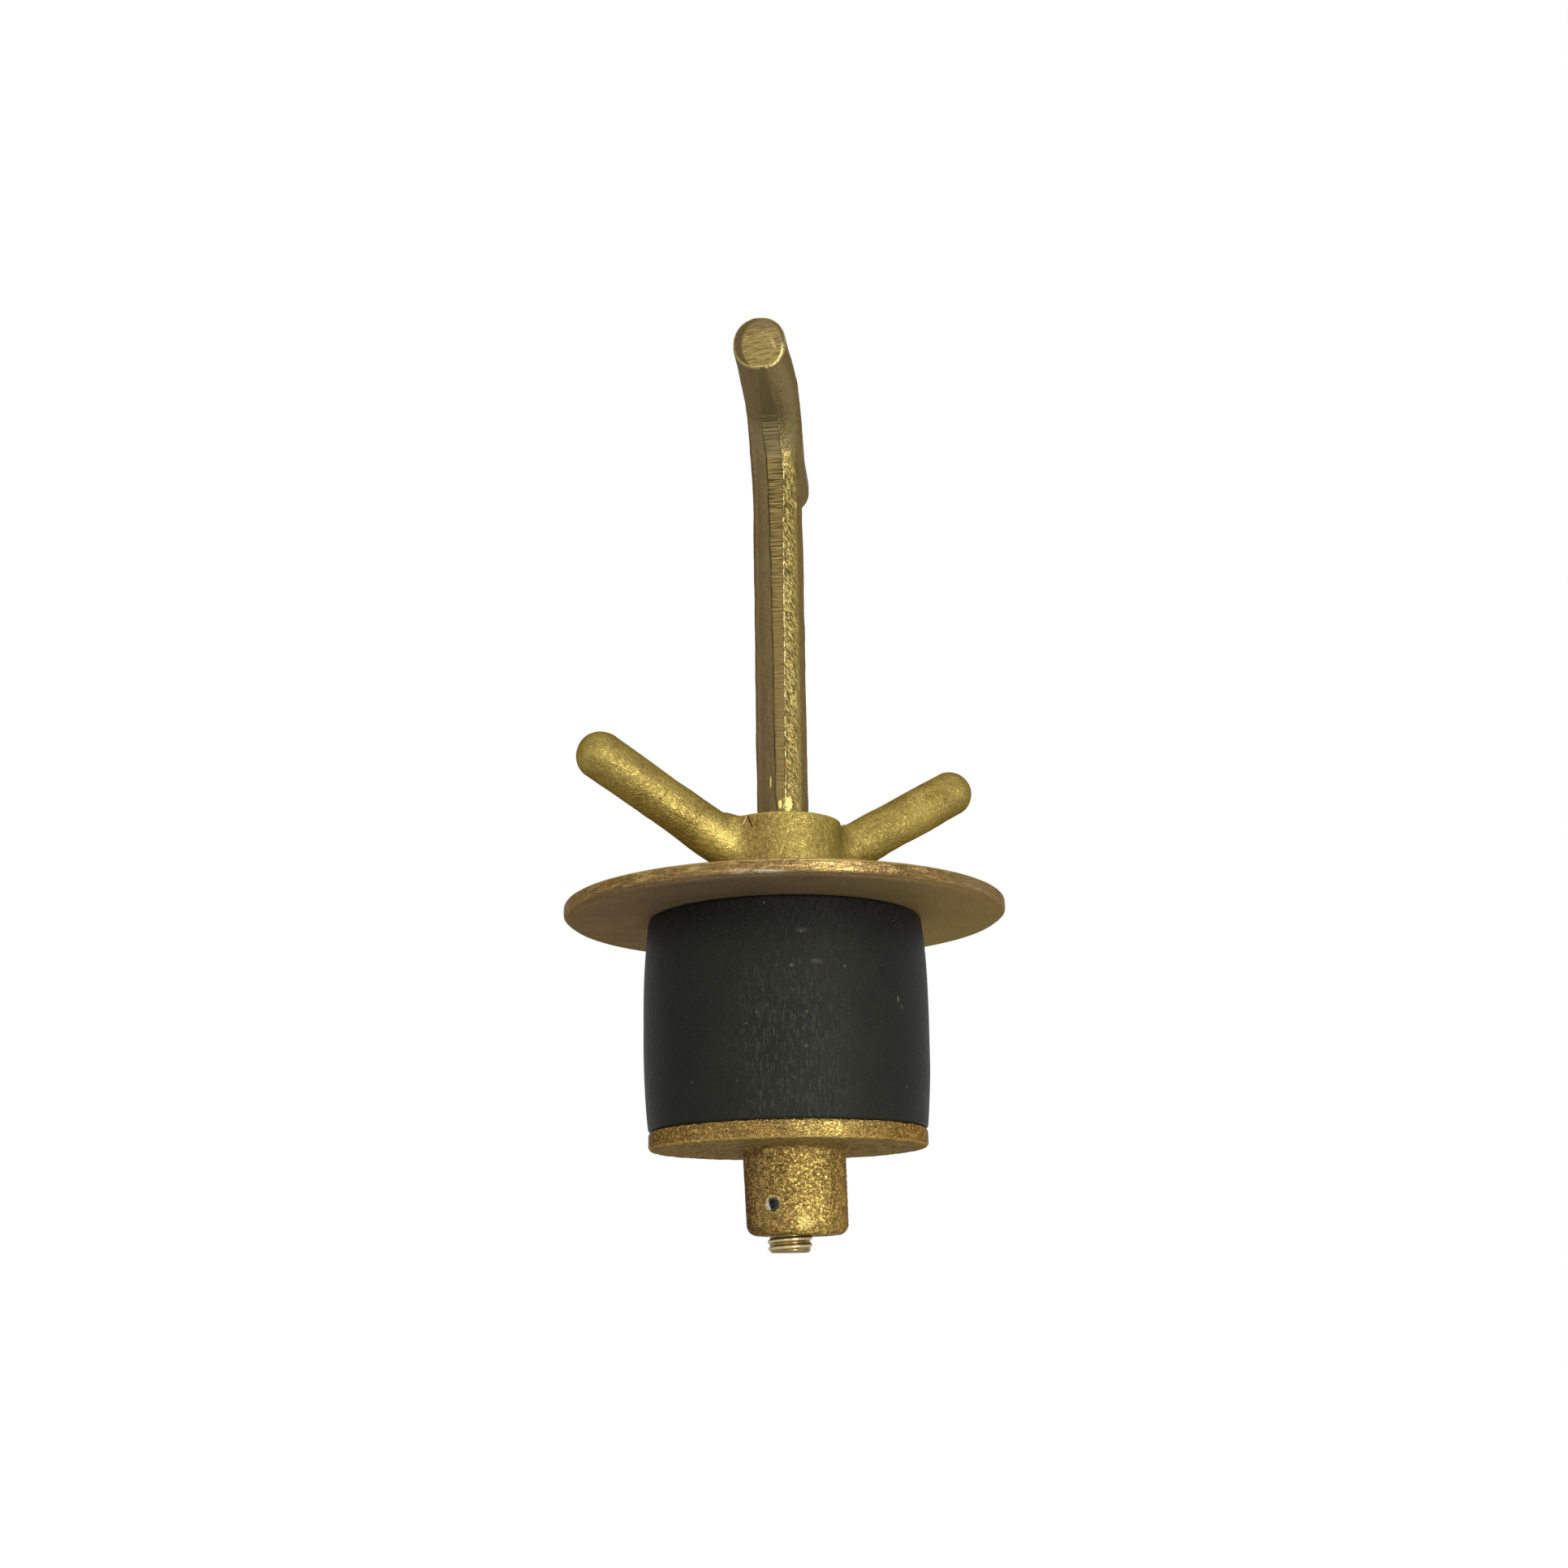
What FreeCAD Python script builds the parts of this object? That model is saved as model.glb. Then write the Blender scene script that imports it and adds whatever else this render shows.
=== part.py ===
import FreeCAD, Part
import math
import os
from FreeCAD import Vector

# Expanding scupper plug in cast brass and rubber. The underside of the cover, which seats on
# the deck, is z = 0. The rubber plug hangs below it and the handle stands above it.
# The bar of the handle lies along Y. All sizes are in millimetres, all turns in degrees.

# Cover: one turned disc; outside the widest scupper hole its underside seats on the deck
cover_dia = 81.2
seat_inner_dia = 53.6
cover_thickness = 2.9
cover_top_bevel = 0.6
cover_low_bevel = 0.4

# Rubber sleeve: straight in the middle and tapered to both ends, squeezed between cover and collar
sleeve_length = 38.2
sleeve_dia = 52.0
sleeve_end_dia = 50.4
sleeve_straight = 20.0
sleeve_edge_bevel = 0.6

# Base collar: plate and hub in one casting, the hub cast a little off centre
plate_dia = 50.2
plate_thickness = 3.3
plate_edge_bevel = 0.4
hub_dia = 18.3
hub_length = 15.0
hub_offset = 0.8
hub_offset_turn = 4.3
hub_root_bevel = 0.9
hub_end_bevel = 1.2

# Handle and spindle: cross bar, stem, screw for the wing nut and threaded tail in one casting
bar_length = 67.0
bar_width = 9.6
bar_height = 10.4
bar_axis_height = 100.6
bar_end_bevel = 1.4
bar_end_bevel_turn = 140.0
bar_root_fillet = 8.0
stem_dia = 9.6
casting_flat = 0.05
screw_dia = 9.8
screw_top_below_nut_top = 1.5
tail_dia = 8.0
tail_stands_out = 2.9
tail_chamfer = 0.7

# Wing nut: boss and two round wings in one casting, faced on top
boss_dia = 21.7
boss_height = 15.6
wing_dia = 9.0
wing_reach = 36.3
wing_rise_turn = 30.2
wing_root_height = 4.0
wing_turn = 29.8
wing_root_fillet = 2.5
facing_margin = 0.2
nut_mouth_chamfer = 0.6

# Set screw: hollow-hexagon grub screw that locks the collar on the tail
set_screw_dia = 2.5
set_screw_height = 5.2
set_screw_turn = 254.3
set_screw_sunk = 0.5
socket_across_flats = 1.3
socket_depth = 1.2
set_screw_point = 0.5

# Fits between pieces, each the gap on the radius
spindle_in_cover = 0.10
spindle_in_sleeve = 0.30
spindle_in_nut = 0.06
tail_in_hub = 0.03
screw_in_hub = 0.03
screw_tip_gap = 0.05

# How far cutting tools run past a surface, and how near an edge must be to count as the one meant
overrun = 1.0
match = 0.05

# Heights that follow from the sizes above
nut_seat_z = cover_thickness
nut_top_z = nut_seat_z + boss_height
collar_top_z = -sleeve_length
plate_low_z = collar_top_z - plate_thickness
hub_end_z = plate_low_z - hub_length
tail_end_z = hub_end_z - tail_stands_out
screw_top_z = nut_top_z - screw_top_below_nut_top
set_screw_z = hub_end_z + set_screw_height


def direction(turn):
    """Unit vector in the deck plane, turned from +X towards +Y."""
    return Vector(math.cos(math.radians(turn)), math.sin(math.radians(turn)), 0)


def round_bar(dia, start, end):
    """Plain round bar between two points."""
    return Part.makeCylinder(dia / 2, (end - start).Length, start, end - start)


def turned(points):
    """Solid of revolution about Z from a closed outline of (radius, z) points."""
    outline = [Vector(radius, 0, z) for radius, z in points]
    face = Part.Face(Part.makePolygon(outline + outline[:1]))
    return face.revolve(Vector(0, 0, 0), Vector(0, 0, 1), 360)


def round_edges(shape, radius, chosen):
    """Fillet those edges of the shape that the chosen test picks."""
    return shape.makeFillet(radius, [edge for edge in shape.Edges if chosen(edge)])


def cover_flange():
    """Plain disc with bevelled rim and a clearance hole; its underside is split at the deck seat."""
    rim = cover_dia / 2
    hole = screw_dia / 2 + spindle_in_cover
    return turned([
        (hole, 0),
        (seat_inner_dia / 2, 0),
        (rim - cover_low_bevel, 0),
        (rim, cover_low_bevel),
        (rim, cover_thickness - cover_top_bevel),
        (rim - cover_top_bevel, cover_thickness),
        (hole, cover_thickness),
    ])


def rubber_sleeve():
    """Thick rubber tube with a straight middle, tapered and bevelled towards both ends."""
    bore = screw_dia / 2 + spindle_in_sleeve
    wall = sleeve_dia / 2
    end_wall = sleeve_end_dia / 2
    ends = (sleeve_length - sleeve_straight) / 2
    return turned([
        (bore, collar_top_z),
        (end_wall - sleeve_edge_bevel, collar_top_z),
        (end_wall, collar_top_z + sleeve_edge_bevel),
        (wall, collar_top_z + ends),
        (wall, -ends),
        (end_wall, -sleeve_edge_bevel),
        (end_wall - sleeve_edge_bevel, 0),
        (bore, 0),
    ])


def hub_wall_distance(turn):
    """Distance from the spindle's axis to the hub's wall in one direction."""
    ray = direction(turn)
    centre = direction(hub_offset_turn) * hub_offset
    towards = centre.dot(ray)
    aside_squared = hub_offset ** 2 - towards ** 2
    return towards + math.sqrt((hub_dia / 2) ** 2 - aside_squared)


def base_collar():
    """Plate and hub in one casting, bored for the tail and cross-bored for the set screw."""
    edge = plate_dia / 2
    plate = turned([
        (0, plate_low_z),
        (edge - plate_edge_bevel, plate_low_z),
        (edge, plate_low_z + plate_edge_bevel),
        (edge, collar_top_z - plate_edge_bevel),
        (edge - plate_edge_bevel, collar_top_z),
        (0, collar_top_z),
    ])
    hub = turned([
        (0, hub_end_z),
        (hub_dia / 2 - hub_end_bevel, hub_end_z),
        (hub_dia / 2, hub_end_z + hub_end_bevel),
        (hub_dia / 2, plate_low_z - hub_root_bevel),
        (hub_dia / 2 + hub_root_bevel, plate_low_z),
        (hub_dia / 2 + hub_root_bevel, plate_low_z + plate_edge_bevel),
        (0, plate_low_z + plate_edge_bevel),
    ])
    hub.translate(direction(hub_offset_turn) * hub_offset)
    casting = plate.fuse(hub).removeSplitter()
    bore_dia = tail_dia + 2 * tail_in_hub
    bore = round_bar(bore_dia, Vector(0, 0, tail_end_z), Vector(0, 0, collar_top_z + overrun))
    cross_bore_dia = set_screw_dia + 2 * screw_in_hub
    centre = Vector(0, 0, set_screw_z)
    cross_bore = round_bar(cross_bore_dia, centre, centre + direction(set_screw_turn) * hub_dia)
    return casting.cut(bore).cut(cross_bore)


def handle_casting():
    """Cross bar and stem as one T outline in the plane of the parting line, rounded all along."""
    end = bar_length / 2
    half_stem = stem_dia / 2
    top_z = bar_axis_height + bar_height / 2
    low_z = bar_axis_height - bar_height / 2
    arc_z = low_z - bar_root_fillet
    arc_y = half_stem + bar_root_fillet
    reach = bar_root_fillet * math.sqrt(0.5)

    def at(y, z):
        return Vector(-bar_width / 2, y, z)

    def side(sign):
        """Edges of one side of the outline, from the foot of the stem up to the top of the bar."""
        bend = at(sign * (arc_y - reach), arc_z + reach)
        return [
            Part.makeLine(at(sign * half_stem, screw_top_z), at(sign * half_stem, arc_z)),
            Part.Arc(at(sign * half_stem, arc_z), bend, at(sign * arc_y, low_z)).toShape(),
            Part.makeLine(at(sign * arc_y, low_z), at(sign * end, low_z)),
            Part.makeLine(at(sign * end, low_z), at(sign * end, top_z)),
        ]

    foot = Part.makeLine(at(-half_stem, screw_top_z), at(half_stem, screw_top_z))
    top = Part.makeLine(at(-end, top_z), at(end, top_z))
    outline = Part.Wire(Part.__sortEdges__(side(1) + side(-1) + [foot, top]))
    slab = Part.Face(outline).extrude(Vector(bar_width, 0, 0))

    def runs_along(edge):
        """True for the long edges of the outline, not those of the sawn ends and the foot."""
        box = edge.BoundBox
        at_end = box.YLength < match and abs(abs(box.YMax) - end) < match
        at_foot = box.ZLength < match and abs(box.ZMax - screw_top_z) < match
        return box.XLength < match and not at_end and not at_foot

    return round_edges(slab, bar_width / 2 - casting_flat, runs_along)


def handle_spindle():
    """Cross bar, stem, nut screw and threaded tail, with one corner of the bar's end bevelled."""
    tail = tail_dia / 2
    shank = screw_dia / 2
    screw = turned([
        (0, tail_end_z),
        (tail - tail_chamfer, tail_end_z),
        (tail, tail_end_z + tail_chamfer),
        (tail, collar_top_z),
        (shank, collar_top_z),
        (shank, screw_top_z),
        (0, screw_top_z),
    ])
    ray = direction(bar_end_bevel_turn)
    corner = Vector(ray.x * bar_width / 2, -bar_length / 2, bar_axis_height + ray.y * bar_height / 2)
    slope = Vector(ray.x, -1, ray.y)
    slope.normalize()
    base = corner - slope * bar_end_bevel / math.sqrt(2)
    cutter = Part.makeCylinder(bar_height, bar_height, base, slope)
    return handle_casting().fuse(screw).cut(cutter).removeSplitter()


def wing(turn):
    """One round wing with a ball end, rising outwards from the boss."""
    start = Vector(0, 0, nut_seat_z + wing_root_height)
    rise = wing_reach * math.tan(math.radians(wing_rise_turn))
    tip = start + direction(turn) * wing_reach + Vector(0, 0, rise)
    ball_end = Part.makeSphere(wing_dia / 2, tip, tip - start, 0, 90, 360)
    return round_bar(wing_dia, start, tip).fuse(ball_end)


def wing_nut():
    """Boss with two wings, blended at the roots, then faced on top and bored."""
    raw_height = boss_height + wing_dia
    raw = Part.makeCylinder(boss_dia / 2, raw_height, Vector(0, 0, nut_seat_z))
    raw = raw.fuse(wing(wing_turn)).fuse(wing(wing_turn + 180)).removeSplitter()

    def is_root(edge):
        """True for the curves where a wing runs into the boss."""
        if edge.Degenerated or isinstance(edge.Curve, (Part.Circle, Part.Line)):
            return False
        radii = [math.hypot(vertex.Point.x, vertex.Point.y) for vertex in edge.Vertexes]
        return all(abs(radius - boss_dia / 2) < match for radius in radii)

    raw = round_edges(raw, wing_root_fillet, is_root)
    flat_radius = boss_dia / 2 + facing_margin
    wide_radius = flat_radius + 2 * wing_root_fillet
    lift = (wide_radius - flat_radius) * math.tan(math.radians(wing_rise_turn))
    facing = turned([
        (0, nut_top_z),
        (flat_radius, nut_top_z),
        (wide_radius, nut_top_z + lift),
        (wide_radius, nut_top_z + raw_height),
        (0, nut_top_z + raw_height),
    ])
    nut = raw.cut(facing)
    hole_dia = screw_dia + 2 * spindle_in_nut
    nut = nut.cut(round_bar(hole_dia, Vector(0, 0, 0), Vector(0, 0, nut_top_z + overrun)))
    mouth = Part.makeCone(hole_dia / 2, hole_dia / 2 + 2 * nut_mouth_chamfer, 2 * nut_mouth_chamfer,
                          Vector(0, 0, nut_top_z - nut_mouth_chamfer))
    return nut.cut(mouth)


def set_screw():
    """Grub screw lying across the hub, with a hexagon socket outside and a cone point inside."""
    ray = direction(set_screw_turn)
    centre = Vector(0, 0, set_screw_z)
    outer = hub_wall_distance(set_screw_turn) - set_screw_sunk
    inner = tail_dia / 2 + screw_tip_gap
    radius = set_screw_dia / 2
    body = round_bar(set_screw_dia, centre + ray * (inner + set_screw_point), centre + ray * outer)
    point = Part.makeCone(radius - set_screw_point, radius, set_screw_point, centre + ray * inner, ray)
    corner_radius = socket_across_flats / math.sqrt(3)
    aside = Vector(-ray.y, ray.x, 0)
    up = Vector(0, 0, 1)
    corners = []
    for corner in range(6):
        turn = math.radians(60 * corner)
        spoke = aside * math.cos(turn) + up * math.sin(turn)
        corners.append(centre + ray * outer + spoke * corner_radius)
    socket = Part.Face(Part.makePolygon(corners + corners[:1])).extrude(ray * -socket_depth)
    return body.fuse(point).cut(socket).removeSplitter()


NODES = {
    "cover_flange": cover_flange,
    "rubber_sleeve": rubber_sleeve,
    "base_collar": base_collar,
    "handle_spindle": handle_spindle,
    "wing_nut": wing_nut,
    "set_screw": set_screw,
}

os.makedirs("parts", exist_ok=True)
for node, make in NODES.items():
    shape = make()
    shape.exportStep("parts/" + node + ".step")
    print(node, "solids", len(shape.Solids), "valid", shape.isValid(), "volume", round(shape.Volume))
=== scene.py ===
import math

import bpy
import numpy as np
from mathutils import Matrix, Vector, noise


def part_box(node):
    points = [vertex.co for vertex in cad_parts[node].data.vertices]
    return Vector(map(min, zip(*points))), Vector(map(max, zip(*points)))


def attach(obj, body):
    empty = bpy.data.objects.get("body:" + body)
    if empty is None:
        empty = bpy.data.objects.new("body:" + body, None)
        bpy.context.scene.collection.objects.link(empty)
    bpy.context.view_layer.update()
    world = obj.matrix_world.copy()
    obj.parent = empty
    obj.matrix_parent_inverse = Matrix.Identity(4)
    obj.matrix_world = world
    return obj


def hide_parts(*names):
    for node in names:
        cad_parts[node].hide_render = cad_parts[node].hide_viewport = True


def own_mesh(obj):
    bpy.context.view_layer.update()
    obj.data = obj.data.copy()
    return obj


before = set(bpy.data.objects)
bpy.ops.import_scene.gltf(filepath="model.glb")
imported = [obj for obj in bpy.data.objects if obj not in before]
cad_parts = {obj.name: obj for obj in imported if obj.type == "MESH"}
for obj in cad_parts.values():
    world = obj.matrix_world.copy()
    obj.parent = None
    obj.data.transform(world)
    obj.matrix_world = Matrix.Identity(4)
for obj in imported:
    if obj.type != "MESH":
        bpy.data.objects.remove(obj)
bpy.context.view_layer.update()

# Expanding scupper plug: cast brass handle, wing nut and collar, brass cover, rubber sleeve.
# Shapes are worked out in millimetres in the frame of the CAD model and placed in metres.
MM = 0.001


def node_box(node):
    """Lowest and highest corners of a CAD node in millimetres."""
    low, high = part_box(node)
    return Vector(low) / MM, Vector(high) / MM


# ---- sizes taken from the frame

handle, nut, cover, sleeve, collar = (node_box(node) for node in (
    "handle_spindle", "wing_nut", "cover_flange", "rubber_sleeve", "base_collar"))

bar_end, bar_top = handle[1].y, handle[1].z
tail_end = handle[0].z
wing_top = nut[1].z
cover_radius, cover_under, cover_top = cover[1].x, cover[0].z, cover[1].z
sleeve_radius, sleeve_foot, sleeve_head = sleeve[1].x, sleeve[0].z, sleeve[1].z
collar_radius, hub_end, collar_top = collar[1].x, collar[0].z, collar[1].z

# ---- named sizes of the castings

# Handle: cross bar along Y and stem, cast in one
bar_width = 9.6
bar_height = 10.4
bar_axis = bar_top - bar_height / 2
bar_sideways = 0.4
bend_low, bend_high = bar_axis - 15, bar_axis - 4
bar_root_fillet = 8
stem_radius = 4.8
stem_foot = 17
casting_flat = 0.05
saw_edge = 0.22
foot_edge = 0.5

# Sawn face on the -Y end of the bar: an oval, with a shoulder that falls back round it
face_x, face_z = 0.5, 100.1
face_half_x, face_half_z = 3.6, 4.8
shoulder_fall = 0.34

# Strip filed along the parting line: half its width at places that run up the front of the
# stem, round the fillet and out under the bar; a place is the height minus the depth y
strip_places = (16, 28, 40, 68, 83, 92, 97, 104, 113, 119.5, 127.5, 134)
strip_halves = (0.50, 0.75, 0.91, 1.08, 1.25, 1.50, 1.50, 1.45, 1.50, 1.18, 0.85, 0.70)
strip_half_elsewhere = 0.7
strip_lean = 0.042
file_marks_from, file_marks_to = 28, 109
single_marks = (109.2, 106.4, 105.5, 104.1, 103.1)
ridge_slant = 1.7

# Torn metal beside the strip: where, how big, how many times taller than wide, how bright
torn_spots = (((2.44, -5.21, 91.4), 0.65, 2.4, 0.5), ((1.89, -4.66, 89.5), 0.35, 1.2, 0.9),
              ((3.69, -3.1, 81.6), 0.35, 2.2, 0.7))

# Spots rubbed bright above the nut: where, how big, how many times taller than wide, how soft,
# how bright; and a dab on the sawn face, from its foot to its head as (x, z), and half its width
polished_spots = (((1.3, -4.6, 21.2), 0.95, 1.8, 0.3, 1), ((-1.9, -4.4, 25.8), 0.3, 5, 0.7, 0.7),
                  ((-0.1, -4.8, 21.4), 0.4, 2.5, 0.3, 1))
saw_dab = ((2.43, 99.2), (1.81, 101.1), 0.45)

# The +X flank of the bar is cast fuller over the stem: how far it stands out, along Y
swell_places = (-31, -25, -18, -12, -4, 4, 12, 19)
swell_heights = (0, 0.7, 1.15, 1, 0.85, 0.65, 0.3, 0)

# Wing nut
nut_seat = cover_top
nut_top = nut_seat + 15.6
boss_radius = 10.85
wing_radius = 4.5
wing_reach = 36.3
wing_rise = 30.2
wing_turn = 29.8
wing_root = nut_seat + 4
wing_fillet = 2.8
facing_edge = 0.35
facing_fall = 1.1
nut_bore = 4.98
mouth_chamfer = 0.6

# Marks on the nut: a crack and a burr at the left wing's root, a pit, and a patch of painted light
# at that root
nut_crack = ((-4.91, 15.9), (-5.94, 18.4), 0.17)
nut_burr = ((-6.62, 16.6), (-5.94, 18.4), 0.16)
nut_pit = ((-20.92, -16.64, 19.99), 0.26)
painted_root_light = ((-11, -11.2, 13.2), 6)

# Base collar: plate and hub in one casting
plate_low = collar_top - 3.3
plate_edge = 0.75
hub_radius = 9.35
hub_taper = 0.015
hub_lean = 0.028
hub_offset = 0.9
hub_offset_turn = 4.3
hub_fillet = 1.1
hub_end_round = 1.9
tail_bore = 4.03
cross_bore = 1.05
cross_bore_mouth = 0.3
cross_bore_rim = 1.28
cross_bore_turn = 254.3
cross_bore_height = hub_end + 5.2
bead_size = 0.8
rubbed_hub = ((3.4, -8.8, -54.4), 1.5)

# Screw and tail
screw_crest = 4.88
screw_pitch = 1.5
thread_low = -8
shank_radius = 4.85
tail_crest = 3.98
tail_pitch = 1.25
tail_chamfer = 0.7
thread_depth_share = 0.54
tail_depth_share = 0.30

# Cover and sleeve
cover_bore = 5
cover_top_round = 0.75
cover_chamfer_width, cover_chamfer_height = 1.2, 0.75
sleeve_bore = 5.2
sleeve_end_radius = 25.2
sleeve_edge_round = 0.7
speck_spacing = 1 / 0.42

# Dust and scuffs on the rubber: where, how big, how many times taller than wide, how pale
rubber_marks = (((2.9, -25.8, -12.5), 0.45, 1, 0.6), ((11.9, -23.1, -12.5), 0.4, 1, 0.6),
                ((20.7, -15.7, -17.3), 0.4, 2.2, 0.6), ((21.3, -14.9, -18.6), 0.35, 2, 0.4),
                ((5.1, -25.5, -26.3), 0.5, 0.8, 0.5), ((9.8, -24.1, -30.1), 0.35, 1, 0.5),
                ((4.7, -25.6, -6.4), 1.6, 0.4, 0.2), ((7.2, -25, -11.8), 1.7, 0.45, 0.2))

# Tints of the metal's shine where it is seen at a slant
brass_edge = (124, 106, 62)
rim_edge = (150, 134, 100)


# ---- fields of signed distance, mm

def rise(value, start, end):
    """Rises smoothly from 0 at the start to 1 at the end."""
    part = np.clip((value - start) / (end - start), 0, 1)
    return part * part * (3 - 2 * part)


def joined(a, b, radius):
    """Two forms in one, with a round fillet where they meet."""
    length = np.hypot(np.maximum(radius - a, 0), np.maximum(radius - b, 0))
    return np.maximum(radius, np.minimum(a, b)) - length


def trimmed(a, b, radius):
    """What two forms share, with a rounded edge where they cross."""
    length = np.hypot(np.maximum(radius + a, 0), np.maximum(radius + b, 0))
    return np.minimum(-radius, np.maximum(a, b)) + length


def round_wing(x, y, z, turn):
    """One wing of the nut: a round bar with a ball end that rises outwards."""
    run = Vector((math.cos(math.radians(turn)), math.sin(math.radians(turn)),
                  math.tan(math.radians(wing_rise)))) * wing_reach
    along = (x * run.x + y * run.y + (z - wing_root) * run.z) / run.length_squared
    along = np.clip(along, 0, 1)
    gap = (x - along * run.x) ** 2 + (y - along * run.y) ** 2
    return np.sqrt(gap + (z - wing_root - along * run.z) ** 2) - wing_radius


def bar_centred(x, z):
    """Sideways place measured from the middle of the casting, whose bar sits a little to -X."""
    return x + bar_sideways * rise(z, bend_low, bend_high)


def handle_outline(y, z):
    """Distance from the T outline of the handle, in the plane of its parting line."""
    stem = np.maximum(np.abs(y) - stem_radius, z - bar_axis)
    bar = np.abs(z - bar_axis) - bar_height / 2
    return joined(stem, bar, bar_root_fillet)


def strip_half(y, z):
    """Half the width of the strip that is filed along the parting line."""
    half = np.interp(z - y, strip_places, strip_halves)
    front = rise(-y, 1, 3) * rise(z, bar_axis + 1, bar_axis - 1)
    return strip_half_elsewhere + (half - strip_half_elsewhere) * front


def outside_face(x, z):
    """How far a place on the bar's end lies outside the oval sawn face."""
    oval = np.hypot((x - face_x) / face_half_x, (z - face_z) / face_half_z)
    return (oval - 1) * (face_half_x + face_half_z) / 2


def handle_field(x, y, z):
    """Cross bar and stem as one T outline, rounded all along, with sawn ends and a filed strip."""
    x = bar_centred(x, z)
    outline = handle_outline(y, z)
    rounding = bar_width / 2 - casting_flat
    swell = np.interp(y, swell_places, swell_heights) * rise(x, 0, 2)
    swell = swell * rise(z, 90, 96) * rise(z, 104.5, 99)
    aside = np.abs(x) - swell - bar_width / 2 + rounding
    inner = outline + rounding
    solid = np.hypot(np.maximum(inner, 0), np.maximum(aside, 0)) - rounding
    solid = solid + np.minimum(np.maximum(inner, aside), 0)
    fall = shoulder_fall * np.maximum(outside_face(x, z), 0) * (y < 0)
    solid = trimmed(solid, np.abs(y) - bar_end + fall, saw_edge)
    depth = rounding - np.sqrt(rounding ** 2 - strip_half(y, z) ** 2)
    solid = np.maximum(solid, outline + strip_lean * x + depth)
    return trimmed(solid, stem_foot - z, foot_edge)


def nut_field(x, y, z):
    """Boss and two wings blended at the roots, faced top and bottom, bored and chamfered."""
    radius = np.hypot(x, y)
    boss = radius - boss_radius
    wings = np.minimum(round_wing(x, y, z, wing_turn), round_wing(x, y, z, wing_turn + 180))
    raw = joined(boss, wings, wing_fillet)
    boss_top = (z - nut_top) - facing_fall * np.maximum(radius - boss_radius - 0.2, 0)
    raw = trimmed(raw, boss_top, facing_edge)
    raw = trimmed(raw, nut_seat - z, facing_edge)
    mouth = (nut_bore - radius) + np.maximum(z - nut_top + mouth_chamfer, 0)
    return trimmed(raw, mouth, 0.15)


def from_cross_bore(x, y):
    """How far a place lies beside the line of the cross bore, and how far out along it."""
    turn = math.radians(cross_bore_turn)
    return x * math.sin(turn) - y * math.cos(turn), x * math.cos(turn) + y * math.sin(turn)


def collar_field(x, y, z):
    """Plate and hub in one casting, bored for the tail and cross-bored for the set screw."""
    plate = np.hypot(x, y) - collar_radius
    slab = np.maximum(z - collar_top, plate_low - z)
    plate = trimmed(plate, slab, plate_edge)
    aside = math.radians(hub_offset_turn)
    below = np.maximum(collar_top - z, 0)
    offset = hub_offset + hub_lean * below
    hub = np.hypot(x - offset * math.cos(aside), y - offset * math.sin(aside))
    wall = hub - hub_radius + hub_taper * below
    hub = np.maximum(trimmed(wall, hub_end - z, hub_end_round), z - collar_top + 1)
    solid = joined(plate, hub, hub_fillet)
    solid = trimmed(solid, tail_bore - np.hypot(x, y), 0.2)
    across, outwards = from_cross_bore(x, y)
    mouth = np.clip(wall + cross_bore_mouth, 0, cross_bore_mouth + 0.1)
    bore = cross_bore + mouth - np.hypot(across, z - cross_bore_height)
    bore = np.minimum(bore, outwards)
    return trimmed(solid, bore, 0.06)


# ---- meshes from the fields

even_rounds = 3
cast_step, collar_step = 0.32, 0.29


def both_ways(field, points, small):
    """Values of a field one small step ahead of the points and one behind, along each axis."""
    return [(field(*(points + step).T), field(*(points - step).T)) for step in small * np.eye(3)]


def slope_of(field, points, small=0.02):
    """Unit normals of a field at the points, and how fast it rises there."""
    slopes = [(ahead - behind) / (2 * small) for ahead, behind in both_ways(field, points, small)]
    slopes = np.stack(slopes, 1)
    length = np.maximum(np.linalg.norm(slopes, axis=1), 0.05)
    return slopes / length[:, None], length


def convexity(field, points, width=0.5):
    """How strongly the surface bends outwards, from 0 on flats to 1 on edges of that width."""
    around = sum(ahead + behind for ahead, behind in both_ways(field, points, width))
    return rise((around - 6 * field(*points.T)) / width, 0.25, 1)


def settle(field, points, step):
    """Points moved onto the surface where the field is zero."""
    for _ in range(2):
        normal, steepness = slope_of(field, points)
        gap = np.clip(field(*points.T) / steepness, -step, step)
        points = points - normal * gap[:, None]
    return points


def averaged(numbers, rows):
    """Means of the rows that share a number, one for each number."""
    sums = [np.bincount(numbers, weights=column) for column in rows.T]
    return np.stack(sums, 1) / np.bincount(numbers)[:, None]


def evened(points, faces):
    """Points moved half way to the middle of the faces round them, which evens out the mesh."""
    middles = np.repeat(points[faces].mean(1), 4, axis=0)
    return (points + averaged(faces.ravel(), middles)) / 2


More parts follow.
